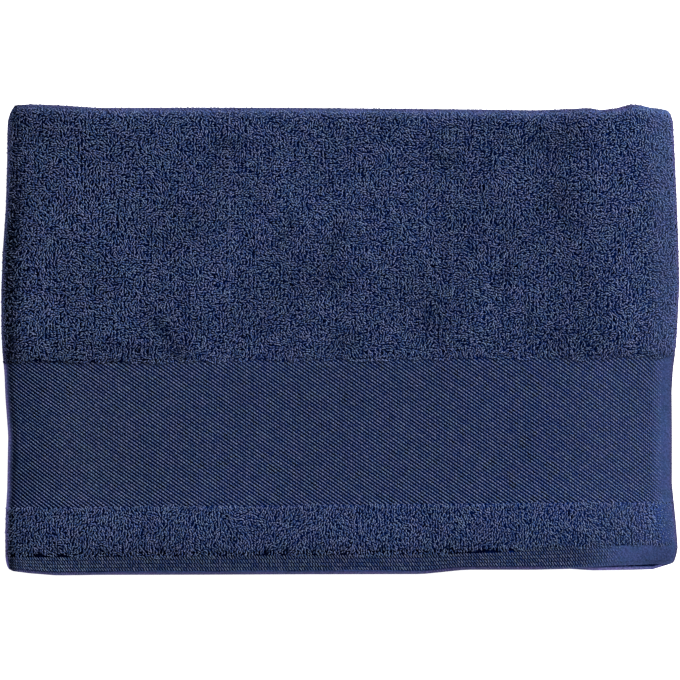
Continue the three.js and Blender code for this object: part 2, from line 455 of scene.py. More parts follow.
# what differs from yarn to yarn
plainYarn = {
    "lift": 1.0,           # how light it is
    "spread": 1.0,         # how far its shades spread
    "uneven": 1.0,
    "softness": 0.0,       # the least that it is hazed
    "rootEnd": 0.4,        # how far up its painted root shade reaches
    "fuzz": 1.0,
    "fall": 1.45,          # how much of the shade falls on its darkest pieces
    "fallSum": 1.9,        # and on its darkest and lightest ones together
}


def greyed(tree, value):
    inputs = dict.fromkeys(("Red", "Green", "Blue"), value)
    return addNode(tree, "ShaderNodeCombineColor", inputs).outputs[0]


def rimParts(tree):
    # what rimOf() has marked on a piece: how soft it is, how near the outline, how shaded
    return addNode(tree, "ShaderNodeSeparateXYZ", {"Vector": markedBy(tree, "rim", "Vector")}).outputs


def sheenOf(tree, most, edge, shade):
    # less at the outermost edge and in the shade
    inPlace = rangeOf(tree, edge, 0, 1, most, yarn["edgeSheen"])
    return times(tree, inPlace, maths(tree, "MINIMUM", shade, 1.0))


def dyedAndShadedColour(tree, place, base, soft, edge, shade, uneven=1.0):
    # dyed cloth in soft patches of lighter and darker, warmer and cooler navy, with painted shade
    # multiplied in
    hazed = mixColours(tree, rangeOf(tree, soft, 0, 1, 0, yarn["hazed"]), base, yarn["haze"])
    hazed = mixColours(tree, edge, hazed, yarn["fringe"])
    noise = noiseOf(tree, place, yarn["patchScale"], 3)
    low, high = (1 + (yarn[key] - 1) * uneven for key in ("patchLow", "patchHigh"))
    patches = rangeOf(tree, noise, 0.3, 0.7, low, high)
    # painted shade and highlight of the yarn's twist
    twistShade = noiseOf(tree, place, yarn["twistShadeScale"], 1)
    twistShade = rangeOf(tree, twistShade, 0.34, 0.66, yarn["twistShadeLow"], yarn["twistShadeHigh"])
    level = times(tree, times(tree, patches, shade), twistShade)
    hue = rangeOf(tree, noiseOf(tree, place, yarn["hueScale"], 2), 0.3, 0.7, 0, 1)
    hued = mixColours(tree, 1.0, hazed, mixColours(tree, hue, yarn["warm"], yarn["cool"]), "MULTIPLY")
    return mixColours(tree, 1.0, hued, greyed(tree, level), "MULTIPLY")


def makeYarnMaterial(name, **changes):
    # dyed cotton yarn with a fuzzy surface, with shade painted dark at its root
    look = {**plainYarn, **changes}
    material, tree, shader = nodeMaterial(name, yarn)
    place, tint = objectPlace(tree), markedBy(tree, "tint")
    soft, edge, shade = rimParts(tree)
    soft = maths(tree, "MAXIMUM", soft, look["softness"])
    deep, light = (tuple(c * look["lift"] for c in yarn[key][:3]) + (1,) for key in ("deep", "light"))
    spread = look["spread"] / 2
    yarnColour = mixColours(tree, rangeOf(tree, tint, 0, 1, 0.5 - spread, 0.5 + spread), deep, light)
    # painted shade, darker towards where a loop or float leaves the ground
    inRootShade = rangeOf(tree, markedBy(tree, "rise"), look["rootEnd"], yarn["rootShadeTop"], 1, 0)
    rootShadeShare = times(tree, inRootShade, rangeOf(tree, soft, 0, 1, 1, yarn["softRootShade"]))
    yarnColour = mixColours(tree, rootShadeShare, yarnColour, yarn["root"], "MULTIPLY")
    # in the shaded left fold the paler loops still stand out
    fall = rangeOf(tree, tint, 0, 1, look["fall"], look["fallSum"] - look["fall"])
    shade = oneLess(tree, times(tree, oneLess(tree, shade), fall))
    shade = maths(tree, "MAXIMUM", shade, yarn["darkest"])
    colour = dyedAndShadedColour(tree, place, yarnColour, soft, edge, shade, look["uneven"])
    tree.links.new(colour, shader.inputs["Base Color"])
    tree.links.new(sheenOf(tree, yarn["sheen"], edge, shade), shader.inputs["Sheen Weight"])
    fuzz = noiseOf(tree, place, yarn["fuzzScale"], 4, 0.7)
    bumpInto(tree, shader, fuzz, yarn["fuzz"] * look["fuzz"], yarn["fuzzHeight"])
    return material


groundLook = {
    "roughness": 0.95,
    "sheen": 0.16,
    "sheenRoughness": 0.4,
    "creviceSheen": 0.08,
    "breakScale": 420,     # of the breaks in its crevices
    "spotScale": 260,
    "paleScale": 700,
    "weaveScale": 900,
    "weave": 0.7,
    "weaveHeight": 0.0003,
}


def makeGroundMaterial(name):
    # the close ground weave: painted dark as shade between loops and floats, as pale as the yarn where
    # it lies bare
    look = groundLook
    material, tree, shader = nodeMaterial(name, look)
    place, bare = objectPlace(tree), markedBy(tree, "bare")
    soft, edge, shade = rimParts(tree)
    broken = rangeOf(tree, noiseOf(tree, place, look["breakScale"], 2), 0.36, 0.5, 0, 1)
    # painted shadow in the crevices, broken up along them
    creviceShadow = times(tree, rangeOf(tree, bare, -1, 0, 1, 0), broken)
    whole = oneLess(tree, creviceShadow)
    shown = times(tree, maths(tree, "MAXIMUM", times(tree, soft, 0.7), bare), whole)
    # random spots of painted deepest shade in the ground
    spots = rangeOf(tree, noiseOf(tree, place, look["spotScale"], 2), 0.55, 0.7, 0, 1)
    dark = mixColours(tree, maths(tree, "MAXIMUM", spots, creviceShadow), yarn["gap"], yarn["deepestShade"])
    speckled = rangeOf(tree, noiseOf(tree, place, look["paleScale"], 4, 0.65), 0.35, 0.65, 0, 0.6)
    base = mixColours(tree, shown, dark, mixColours(tree, speckled, yarn["haze"], yarn["deep"]))
    base = mixColours(tree, rangeOf(tree, bare, -1, -0.1, 0.8, 0), base, yarn["deepestShade"])
    colour = dyedAndShadedColour(tree, place, base, 0.0, times(tree, edge, whole), shade)
    tree.links.new(colour, shader.inputs["Base Color"])
    sheen = sheenOf(tree, look["sheen"], edge, shade)
    sheen = times(tree, sheen, rangeOf(tree, bare, -0.8, 0, look["creviceSheen"], 1))
    tree.links.new(sheen, shader.inputs["Sheen Weight"])
    weave = addNode(tree, "ShaderNodeTexVoronoi", {"Vector": place, "Scale": look["weaveScale"]})
    bumpInto(tree, shader, weave.outputs["Distance"], look["weave"], look["weaveHeight"])
    return material


loopYarn = makeYarnMaterial("terry_loops", rootEnd=0.5)
foldYarn = makeYarnMaterial("terry_loops_on_folds", softness=0.7, rootEnd=0.3)
thread = {"rootEnd": 0.1, "fuzz": 0.6}
floatYarn = makeYarnMaterial("border_floats", **thread, lift=0.72, spread=0.5, uneven=0.4, fall=1.1)
hemYarn = makeYarnMaterial("hem_floats", **thread, lift=0.6, spread=0.9, uneven=0.7, fall=1.2)
groundCloth = makeGroundMaterial("ground_cloth")
print("materials made")


# hollows and, below zero, swells of the pile: x, y, heading, length, width, depth
# the pile's hollows are painted darker and its swells lighter, as shade
hollows = np.array([
    (-90, 1, -52, 32, 8, 0.75),
    (-113, -5, -2, 52, 5, 0.7),
    (-83, -9, -60, 14, 7, 0.6),
    (104, 103, 0, 48, 17, 0.6),
    (112, 72, -70, 34, 17, 0.5),
    (128, 24, -60, 38, 18, 0.45),
    (123, 0, -10, 38, 12, 0.45),
    (108, 44, -70, 110, 60, 0.15),
    (52, 92, 10, 14, 10, 0.6),
    (44, 12, -65, 32, 14, 0.5),
    (-4, 50, 80, 22, 9, 0.7),
    (-29, 54, 75, 18, 8, 0.6),
    (-8, 29, 5, 24, 12, 0.6),
    (3, -1, 15, 18, 9, 0.8),
    (84, 32, 85, 36, 9, 0.45),
    (73, 14, 75, 26, 5, -0.35),
    (-60, 100, 5, 18, 8, 0.5),
    (-152, 104, -30, 14, 9, 0.6),
    (96, 12, -80, 24, 6, 0.6),
    (-64, 20, 80, 46, 18, -0.35),
    (-110, 84, 5, 42, 24, -0.2),
    (10, 80, 30, 28, 14, -0.25),
    (56, 78, 0, 22, 12, -0.2),
    (-30, 84, 80, 24, 12, -0.2),
])


def setHollows(x, y):
    # soft troughs and swells as listed
    depth = 0
    for centreX, centreY, heading, length, width, most in hollows:
        angle = math.radians(heading)
        u = (x - centreX) * math.cos(angle) + (y - centreY) * math.sin(angle)
        v = (y - centreY) * math.cos(angle) - (x - centreX) * math.sin(angle)
        v = v + 0.12 * width * np.sin(u / 3.0)
        depth = depth + most * np.exp(-((u / length * 2) ** 2 + (v / width * 2) ** 2))
    return depth


def hollowDepth(x, y):
    # with a light unevenness everywhere
    waves = 0.16 * np.sin(x / 5.1 + 1.3 * np.sin(y / 9.0))
    waves = waves * np.sin(y / 6.3 + 1.1 * np.sin(x / 11.0) + x / 40)
    waves = waves + 0.12 * np.sin(x / 13.0 + y / 17.0) * np.sin(y / 14.0 - x / 23.0) + 0.1
    return waves + setHollows(x, y)


hang = {
    "strip": 1.65,         # how far the strip's loops hang over the hem
    "stripRight": 0.85,    # how much less at the right
    "stripLeft": 0.6,      # the share that hangs over at the left
    "tufts": 0.25,         # how uneven that is
    "spot": 1.1,           # how far the painted shadow spots between the tufts reach down the hem
    "spotsRight": 0.9,     # how many fewer there are at the right
    "gap": 0.35,           # between the lowest loops and the hem's first floats
    "pile": 1.2,           # how far the pile's loops hang over the border
    "pileLeft": 0.3,
    "stripLeftX": (-165, -130),    # where these change, in mm from the middle
    "stripRightX": (50, 90),
    "spotsX": (62, 100),
    "pileLeftX": (-166, -128),
    "borderX": (-90, -65),         # right of it no shadow lies between the pile and the border
}


def stripSpots(x):
    # where painted shadows show as dark spots between the tufts of the strip's lower edge
    waves = np.sin(x / 1.5 + 2 * np.sin(x / 7.3)) + 0.7 * np.sin(x / 4.7 + 2) + 0.4 * np.sin(x / 0.8)
    return ease(waves, (0.4, 1.2)) * (1 - hang["spotsRight"] * ease(x, hang["spotsX"]))


def stripHang(x):
    # lowest over the left and middle of the hem
    tufts = 1 + hang["tufts"] * (1 - 2 * stripSpots(x))
    right = 1 - hang["stripRight"] * ease(x, hang["stripRightX"])
    left = mix(hang["stripLeft"], 1, ease(x, hang["stripLeftX"]))
    return hang["strip"] * tufts * right * left


def spotReach(x):
    return stripHang(x) + hang["spot"] * stripSpots(x)


def pileHang(x):
    return hang["pile"] * mix(hang["pileLeft"], 1, ease(x, hang["pileLeftX"]))


# How soft, how near the outline and how shaded the cloth is

# the stretches over which that changes: at first in mm in from the outline
rims = {
    "edge": (0.3, 1.2),
    "leftEdge": (1.4, 2.2),
    "frontEdge": (0.9, 1.7),
    "backEdge": (0.9, 2.4),
    "rightEdge": (0.8, 2.2),
    "backRim": (0.7, 1.9),
    "rightSoft": (3.5, 20.0),
    "borderSoft": (3.0, 16.0),     # the right fold of the flat bands
    "stripSoft": (1.0, 12.0),
    "hemSoft": (24.0, 62.0),
    "wideSoft": (10.0, 60.0),
    "leftSoft": (1.8, 2.8),
    "backSoft": (0.8, 2.6),
    "frontSoft": (0.6, 2.4),
    "valleyStart": (1.8, 2.6),     # the dark valley beside the left fold
    "valleyEnd": (4.5, 13.0),
    "borderValleyEnd": (4.2, 6.4),
    "stripValleyEnd": (2.6, 7.0),
    "valleyFar": (55.0, 105.0),    # it fades towards the back
    "leftDim": (6.0, 60.0),
    "stripRight": (2.0, 12.0),
    "rightDim": (3.0, 18.0),
    "hemDim": (4.0, 34.0),
    "hemFront": (1.4, 5.5),
    "terryStart": (-1.0, 1.0),     # from here on in mm past the edge of a band
    "borderFront": (0.0, 22.0),
    "besidePile": (-4.5, -1.5),
    "pileEdge": (0.0, 4.0),
    "besideHem": (-1.6, -0.5),
    "tuftShadow": (-0.5, 4.5),
    "leftSideX": (-150, -50),      # from here on across the towel, in mm from the middle
    "stripLightX": (60, 150),
    "hemCornerX": (100, 130),
    "besidePileX": (95, 120),
    "pileEdgeLeftX": (-95, -70),
    "pileEdgeRightX": (90, 115),
    "hollowDepths": (-0.5, 1.0),   # no hollow is shaded more or less than these
}

# how hazed the bands are far in from the right, how light the left valley is and the like
shares = {
    "stripHaze": 0.34,
    "borderHaze": 0.16,
    "valley": 0.33,
    "borderValley": 0.45,
    "terryValley": 0.2805,
    "farValley": 0.5,
    "rightStripLight": 0.09,     # painted light: how much lighter the strip is at the right
    "terryGlow": 0.9,      # how much less of the left glow the terry has
    "stripGlow": 0.4,      # how much farther in it reaches on the strip, in mm
    "hollowMean": 0.06,
    "leftEdge": 0.5,
    "rightEdge": 0.85,
    "backRim": 0.6,
}

# painted light and shade: how much lighter or darker than the cloth a place is
shades = {
    "leftSide": 0.06,
    "leftGlow": 0.5,       # the flat bands' left fold is pale
    "leftBands": 0.12,
    "stripShading": 1.0,
    "spots": -0.7,
    "hollows": -0.5,
    "borderFront": 0.1,
    "besidePile": 0.35,
    "pileEdge": -0.2,
    "stripGlare": -0.32,   # the right fold would be too bright in the light
    "hemGlare": -0.1,
    "rightGlare": -0.55,
    "backGlare": -0.5,
    "rightHem": -0.26,
    "rightBorder": -0.26,
    "besideHem": 0.4,
    "hemFront": 0.8,
}

# the strip's painted shade: share of the way from the hem to the border, shade
stripShades = np.array([
    (0.0, 0.92),
    (0.35, 1.05),
    (0.8, 1.17),
    (0.93, 1.1),
    (1.0, 0.92),
])


def near(distance, key):
    return fade(distance, rims[key])


def outlineGaps(place, x, y):
    # how far in from the left, right, back and front outline a place lies
    front = np.interp(x, across[:, 0], np.minimum(across[:, 1], across[:, 2]))
    left = x + halfWidth - sideInset(-1.0 + 0 * x, place)
    right = halfWidth - sideInset(1.0 + 0 * x, place) - x
    return left, right, halfDepth - fromTable(across, x, 3) - y, y + halfDepth - front


def softAt(gaps, inHem, inStrip, terry):
    # hazed from the right fold inwards, and close along the other folds
    left, right, back, front = gaps
    own = [near(right, key) for key in ("hemSoft", "stripSoft", "borderSoft")]
    soft = np.select([inHem, inStrip], own[:2], own[2])
    wide = np.where(inStrip, shares["stripHaze"], shares["borderHaze"]) * near(right, "wideSoft")
    soft = mix(np.maximum(soft, wide), near(right, "rightSoft"), terry)
    others = near(left, "leftSoft"), near(back, "backSoft"), near(front, "frontSoft")
    return np.maximum.reduce([soft, *others])


def edgeAt(gaps, terry):
    left, right, back, front = gaps
    return np.maximum.reduce([
        near(np.minimum.reduce(gaps), "edge"),
        near(left, "leftEdge") * (1 - shares["leftEdge"] * terry),
        near(front, "frontEdge"),
        near(right, "rightEdge") * mix(shares["rightEdge"], 1, terry),
        near(back, "backRim") * shares["backRim"],
    ])


def valleyAt(left, y, s, inStrip, terry):
    # what is left of the light in the dark valley beside the left fold
    valley = mix(near(left, "borderValleyEnd"), near(left, "valleyEnd"), terry)
    valley = np.where(inStrip, near(left, "stripValleyEnd"), valley) * ease(left, rims["valleyStart"])
    valley = valley * (1 - shares["farValley"] * terry * ease(y, rims["valleyFar"]))
    lit = mix(shares["valley"], shares["terryValley"], terry)
    lit = np.where((terry < 0.5) & (s > stripEnd), shares["borderValley"], lit)
    return 1 - (1 - lit) * valley


def rimOf(place, points):
    x, y = points[..., 0], points[..., 1]
    s = place["fromHem"] + 0 * x
    gaps = left, right, back, front = outlineGaps(place, x, y)
    terry = ease(s - borderEnd, rims["terryStart"])
    inHem, inStrip = s < hemEnd, (s > hemEnd) & (s < stripEnd)
    flat = (1 - terry) * (1 - inStrip)
    onBorder = (1 - terry) * (s > stripEnd)
    onTop = terry * (place["level"] < 0.5)

    stripShade = np.interp((s - hemEnd) / (stripEnd - hemEnd), stripShades[:, 0], stripShades[:, 1])
    stripShade = stripShade * (1 + shares["rightStripLight"] * ease(x, rims["stripLightX"]))
    tuftStart, tuftEnd = rims["tuftShadow"]
    underTufts = inStrip * fade(s - hemEnd, (tuftStart, tuftEnd + 2 * np.sin(x / 3)))
    besidePile = onBorder * ease(s - borderEnd, rims["besidePile"])
    pileEdge = onTop * near(s - borderEnd, "pileEdge")
    corner = inHem * ease(x, rims["hemCornerX"])
    glow = 1 - shares["terryGlow"] * terry
    where = {
        "leftSide": near(x, "leftSideX"),
        "leftGlow": glow * near(left - shares["stripGlow"] * inStrip, "leftEdge"),
        "leftBands": flat * near(left, "leftDim"),
        "stripShading": (stripShade - 1) * inStrip * ease(right, rims["stripRight"]),
        "spots": underTufts * stripSpots(x),
        "hollows": (np.clip(setHollows(x, y), *rims["hollowDepths"]) - shares["hollowMean"]) * onTop,
        "borderFront": onBorder * near(s - stripEnd, "borderFront"),
        "besidePile": besidePile * ease(x, hang["borderX"]) * near(x, "besidePileX"),
        "pileEdge": pileEdge * (near(x, "pileEdgeLeftX") + ease(x, rims["pileEdgeRightX"])),
        "stripGlare": inStrip * near(right, "stripRight"),
        "hemGlare": inHem * near(right, "hemSoft"),
        "rightGlare": near(right, "rightEdge"),
        "backGlare": near(back, "backEdge"),
        "rightHem": inHem * near(right, "hemDim"),
        "rightBorder": flat * ~inHem * near(right, "rightDim"),
        "besideHem": corner * ease(s - hemEnd, rims["besideHem"]),
        "hemFront": corner * near(front, "hemFront"),
    }
    shade = valleyAt(left, y, s, inStrip, terry)
    for key, share in where.items():
        shade = shade * (1 + shades[key] * share)
    return np.stack([softAt(gaps, inHem, inStrip, terry), edgeAt(gaps, terry), shade], axis=-1)


# The ground cloth

ground = {
    "depths": [0.45, 0.45, 2.2, 0.6, 2.2],     # hem edge, hem, strip, border, terry
    "slope": 2.0,
    "plainDepth": 0.3,     # where no floats cover it
    "plainHemX": (118, 150),
    "plainBandsX": (157, 169),
    "foldDepth": 0.5,
    "sideTurn": (0.45, 0.95),      # over how much of a side or back fold's turn that ends
    "backTurn": (0.3, 0.9),
    "undersideDepth": 0.3,
    "undersideTurn": (0.6, 1.0),
    "lastPanel": (4.8, 5.0),
    "roundEdge": 0.5,
    "roundReach": 0.9,
    "rollDepth": -0.2,
    "rollWidth": 2.3,
    "rollSlope": (-0.5, 0.0),
    "rollLeftX": (-142, -118),
    "rollRightX": (34, 58),
    "bandGap": 0.22,       # how much paler the gaps of the flat bands are
    "rightGap": 0.7,       # how much more at the right, as painted light
    "rightGapX": (40, 150),
    "leftGap": 0.45,       # and how much darker all gaps are at the left, as painted shade
    "leftGapX": (-150, -40),
    "topStep": 3.4,
    "foldSteps": 12,
    "hiddenSteps": 5,
    "lines": (6, 10, 72),  # on each flap, side fold and on the top ply
}


def rollEnd(x):
    # the hem's own turned edge shows as a plain roll along part of the front
    waved = 1 + 0.07 * np.sin(x / 3.1) + 0.07 * np.sin(x / 7.7 + 1)
    return ground["rollWidth"] * waved * ease(x, ground["rollLeftX"]) * fade(x, ground["rollRightX"])


def turnOfFold(place):
    # 1 in the middle of a back or front fold, 0 on the panels
    inFold = place["level"] - np.floor(place["level"])
    return np.sin(np.pi * inFold) * (inFold > 0)


def groundDepth(place, side, x, turn):
    # how far the ground cloth lies under the loops and floats on the outer face
    s, facing = place["fromHem"], np.sin(turn)
    fromEnd = fromEitherEnd(s)
    depth = byBand(s, ground["depths"], ground["slope"]) + 0 * turn

    def upTo(most, share):
        return mix(depth, np.minimum(depth, most), share)

    plain = np.where(fromEnd < hemEnd, ease(x, ground["plainHemX"]), ease(x, ground["plainBandsX"]))
    depth = upTo(ground["plainDepth"], plain * (fromEnd < borderEnd))
    sideFold = (side != 0) * fade(facing, ground["sideTurn"])
    backFold = ease(turnOfFold(place), ground["backTurn"])
    depth = upTo(ground["foldDepth"], np.maximum(sideFold, backFold))
    underside = ease(place["level"], ground["lastPanel"]) * ease(facing, ground["undersideTurn"])
    depth = upTo(ground["undersideDepth"], underside)
    roll = fade(s - rollEnd(x), ground["rollSlope"])
    depth = upTo(ground["rollDepth"], roll * (s < ground["rollWidth"] + 1))
    return depth + ground["roundEdge"] * (1 - np.clip(fromEnd / ground["roundReach"], 0, 1)) ** 2


# how much the cloth shows its own colour, and where, on its bands, folds, roll and flaps
bareness = {
    "bands": [0.03, 0.03, 0.0, 0.0, 0.0],      # hem edge, hem, strip, border, terry
    "leftX": (-160, -60),
    "right": 1.2,          # how much more at the right, as painted light in the gaps
    "rightX": (90, 150),
    "sides": 0.55,
    "sideTurn": (0.55, 0.97),
    "backs": 0.7,
    "backTurn": (0.2, 0.8),
    "undersideTurn": (0.3, 0.9),
    "roll": 0.5,
    "rollEdge": (-0.45, -0.05),
    "flaps": 0.45,
    "flapEdge": (0.6, 1.5),
}

# painted shadows in the crevices: how dark they are, and how far they lie from the loops, the roll and
# the flaps' hem
creviceShadows = {
    "left": 0.9,           # painted shade between the border's floats at the left
    "leftX": (-163, -125),
    "besideStrip": (-1.4, -0.6),
    "besideStripX": (70, 112),
    "besidePile": (-1.4, -0.8),
    "openPile": 0.35,      # where the loops stand open
    "clumps": (0.2, 1.2),
    "roll": 0.25,
    "besideRoll": (-0.1, 0.1),
    "besideFlaps": (1.0, 1.9),
    "flapsEnd": 8,
}


def groundBareness(place, side, x, turn):
    # how much the cloth shows its own colour, or below zero how dark a painted crevice shadow it is
    s, facing = place["fromHem"], np.sin(turn)
    past, below = s - rollEnd(x), facing < -0.2
    between = byBand(s, bareness["bands"], ground["slope"] / 2)
    # more of the cloth's colour in the gaps towards the right as painted light, less at the left as
    # painted shade
    between = between * (ease(x, bareness["leftX"]) + bareness["right"] * ease(x, bareness["rightX"]))
    between = between - creviceShadows["left"] * fade(x, creviceShadows["leftX"]) * (s > stripEnd)
    shown = [
        between,
        bareness["sides"] * (side != 0) * fade(facing, bareness["sideTurn"]),
        bareness["backs"] * ease(turnOfFold(place), bareness["backTurn"]),
        ease(place["level"], ground["lastPanel"]) * ease(facing, bareness["undersideTurn"]),
        bareness["roll"] * fade(past, bareness["rollEdge"]),
        bareness["flaps"] * below * fade(s, bareness["flapEdge"]),
    ]
    besideStrip = ease(s - hemEnd + spotReach(x), creviceShadows["besideStrip"]) * (s < hemEnd + 1)
    besidePile = ease(s - borderEnd + pileHang(x), creviceShadows["besidePile"]) * (s < borderEnd + 1)
    clumps = ease(np.sin(x / 4.1) + np.sin(x / 9.3 + 1), creviceShadows["clumps"])
    besideRoll = ease(past, creviceShadows["besideRoll"]) * (past < 0.5) * (rollEnd(x) > 1)
    dark = [
        besideStrip * fade(x, creviceShadows["besideStripX"]),
        besidePile * mix(creviceShadows["openPile"], 1, clumps) * fade(x, hang["borderX"]),
        creviceShadows["roll"] * besideRoll,
        below * ease(s, creviceShadows["besideFlaps"]) * (s < creviceShadows["flapsEnd"]),
    ]
    shown, creviceShadow = (np.maximum.reduce(np.broadcast_arrays(*parts)) for parts in (shown, dark))
    return shown * (1 - creviceShadow) - creviceShadow


def layStations():
    # distances from the hem, close together where the cloth turns or a band ends
    edges = [0, 0.2, *np.arange(0.5, 4.2, 0.45)]
    stops = edges + [clothEnd - edge for edge in edges[:5]]
    stops += list(np.arange(hemEnd - 4, hemEnd, 0.5)) + list(np.arange(borderEnd - 2.6, borderEnd, 0.5))
    for edge in bandEnds[1:]:
        for step in (-0.5, 0, 0.5):
            stops += [edge + step * ground["slope"], clothEnd - edge - step * ground["slope"]]
    for run in runs:
        steps = ground["foldSteps"] if run["turns"] else ground["hiddenSteps"]
        if run["panel"] == 0 and not run["turns"]:
            steps = round((run["end"] - run["start"]) / ground["topStep"])
        stops += list(np.linspace(run["start"], run["end"], steps + 1))
    stops = np.unique(np.round(stops, 3))
    return stops[np.append(True, np.diff(stops) > 0.15)]


def acrossOf(side, x):
    # how far across the towel a line lies, at the outline for a side fold
    return np.where(side == 0, x, side * halfWidth)


def makeClothSheet():
    # an outer and an inner face over the same grid, closed along the flaps and the hems
    side, x, turn = (line[None] for line in section(*ground["lines"]))
    place = placeOnPath(layStations()[:, None])
    flatX = acrossOf(side, x)
    outer = clothPoint(place, side, x, turn, groundDepth(place, side, flatX, turn))
    inner = clothPoint(place, side, x, turn, place["outerRadius"] - innerRadius)
    bare = groundBareness(place, side, flatX, turn)
    rows, columns = bare.shape
    count = rows * columns
    faces = gridFaces(rows, columns)
    faces += [[d, c, b, a] for a, b, c, d in gridFaces(rows, columns, count)]
    grid = np.arange(count).reshape(rows, columns)
    ring = np.concatenate([grid[:-1, 0], grid[-1, :-1], grid[:0:-1, -1], grid[0, :0:-1]])
    after = np.roll(ring, -1)
    faces += np.stack([ring, after, after + count, ring + count], axis=1).tolist()
    points = np.concatenate([toMetres(outer), toMetres(inner)])
    marks = np.stack([rimOf(place, face) for face in (outer, inner)])
    # the gaps painted paler in the flat bands and towards the lit right, and darker at the left as
    # shade
    banded = (place["fromHem"] < borderEnd) & (place["fromHem"] > hemEnd)
    paler = 1 + banded * (ground["bandGap"] + ground["rightGap"] * ease(flatX, ground["rightGapX"]))
    darker = 1 - ground["leftGap"] * fade(flatX, ground["leftGapX"])
    marks[..., 2] *= mix(1, paler * darker, (1 - marks[..., 0]) ** 2)
    attributes = {"bare": np.tile(bare.ravel(), 2), "rim": marks.reshape(-1, 3)}
    sheet = newObject("towel_cloth", newMesh("towel_cloth", points, faces, attributes))
    sheet.data.shade_smooth()
    sheet.data.materials.append(groundCloth)
    return sheet


cloth = makeClothSheet()
print("ground cloth made,", len(cloth.data.polygons), "faces")


# Geometry Nodes that set small shapes on a bed or on marked points

def startTree(name, ownSizes):
    tree = bpy.data.node_groups.new(name, "GeometryNodeTree")
    sizes = {"Geometry": "Geometry", **ownSizes, "Shapes": "Collection", "Finish": "Material"}
    sizes.update(dict.fromkeys(("Smallest", "Largest", "Lowest"), "Float"))
    for label, kind in sizes.items():
        tree.interface.new_socket(label, in_out="INPUT", socket_type="NodeSocket" + kind)
    tree.interface.new_socket("Geometry", in_out="OUTPUT", socket_type="NodeSocketGeometry")
    return tree, tree.nodes.new("NodeGroupInput").outputs, tree.nodes.new("NodeGroupOutput")


def randomFloat(tree, low, high, seed):
    node = addNode(tree, "FunctionNodeRandomValue", data_type="FLOAT")
    for number, value in ((2, low), (3, high), (8, seed)):
        setSocket(tree, node.inputs[number], value)
    return node.outputs[1]


def evenSpread(tree, reach, seed):
    return randomFloat(tree, times(tree, reach, -1.0), reach, seed)


def standing(tree, outward, lie):
    inputs = {"Primary Axis": outward, "Secondary Axis": lie}
    axes = addNode(tree, "FunctionNodeAxesToRotation", inputs, primary_axis="Z", secondary_axis="X")
    return axes.outputs[0]


def turnedBy(tree, rotation, euler):
    turned = addNode(tree, "FunctionNodeEulerToRotation", {"Euler": euler}).outputs[0]
    inputs = {"Rotation": rotation, "Rotate By": turned}
    return addNode(tree, "FunctionNodeRotateRotation", inputs, rotation_space="LOCAL").outputs[0]


def named(tree, name, kind):
    return addNode(tree, "GeometryNodeInputNamedAttribute", {"Name": name}, data_type=kind).outputs[0]


def setShapes(tree, sizes, output, points, rotation, scale):
    # one of the shapes on each point, each in a shade of its own, made real and kept off the floor
    shapes = addNode(tree, "GeometryNodeCollectionInfo", {
        "Collection": sizes["Shapes"], "Separate Children": True, "Reset Children": True,
    })
    placed = addNode(tree, "GeometryNodeInstanceOnPoints", {
        "Points": points, "Instance": shapes.outputs[0], "Pick Instance": True, "Rotation": rotation,
        "Scale": scale,
    })
    shade = addNode(tree, "GeometryNodeStoreNamedAttribute", {
        "Geometry": placed.outputs[0], "Name": "tint", "Value": randomFloat(tree, 0.0, 1.0, 77),
    }, data_type="FLOAT", domain="INSTANCE")
    real = addNode(tree, "GeometryNodeRealizeInstances", {"Geometry": shade.outputs[0]})
    place = addNode(tree, "GeometryNodeInputPosition").outputs[0]
    parts = addNode(tree, "ShaderNodeSeparateXYZ", {"Vector": place}).outputs
    above = combine(tree, parts[0], parts[1], maths(tree, "MAXIMUM", parts[2], sizes["Lowest"]))
    kept = addNode(tree, "GeometryNodeSetPosition", {"Geometry": real.outputs[0], "Position": above})
    smooth = addNode(tree, "GeometryNodeSetShadeSmooth", {"Geometry": kept.outputs[0]})
    inputs = {"Geometry": smooth.outputs[0], "Material": sizes["Finish"]}
    tree.links.new(addNode(tree, "GeometryNodeSetMaterial", inputs).outputs[0], output.inputs[0])


def makePileTree():
    floats = ("Spacing", "Most", "Grain", "Heading", "Turning", "Sway", "Lean")
    tree, sizes, output = startTree("terryPile", {**dict.fromkeys(floats, "Float"), "Seed": "Int"})
    spread = addNode(tree, "GeometryNodeDistributePointsOnFaces", {
        "Mesh": sizes["Geometry"], "Distance Min": sizes["Spacing"], "Density Max": sizes["Most"],
        "Seed": sizes["Seed"],
    }, distribute_method="POISSON")
    place = addNode(tree, "GeometryNodeInputPosition").outputs[0]
    inputs = {"Vector": place, "Scale": sizes["Grain"], "Detail": 1.0}
    field = addNode(tree, "ShaderNodeTexNoise", inputs).outputs[0]
    heading = times(tree, maths(tree, "SUBTRACT", field, 0.5), sizes["Turning"])
    heading = maths(tree, "ADD", heading, sizes["Heading"])
    heading = maths(tree, "ADD", heading, evenSpread(tree, sizes["Sway"], 11))
    lie = combine(tree, maths(tree, "COSINE", heading), maths(tree, "SINE", heading), 0.2)
    lean = combine(tree, evenSpread(tree, sizes["Lean"], 21), evenSpread(tree, sizes["Lean"], 31), 0.0)
    rotation = turnedBy(tree, standing(tree, spread.outputs["Normal"], lie), lean)
    size = randomFloat(tree, sizes["Smallest"], sizes["Largest"], 41)
    setShapes(tree, sizes, output, spread.outputs["Points"], rotation, combine(tree, size, size, size))
    return tree


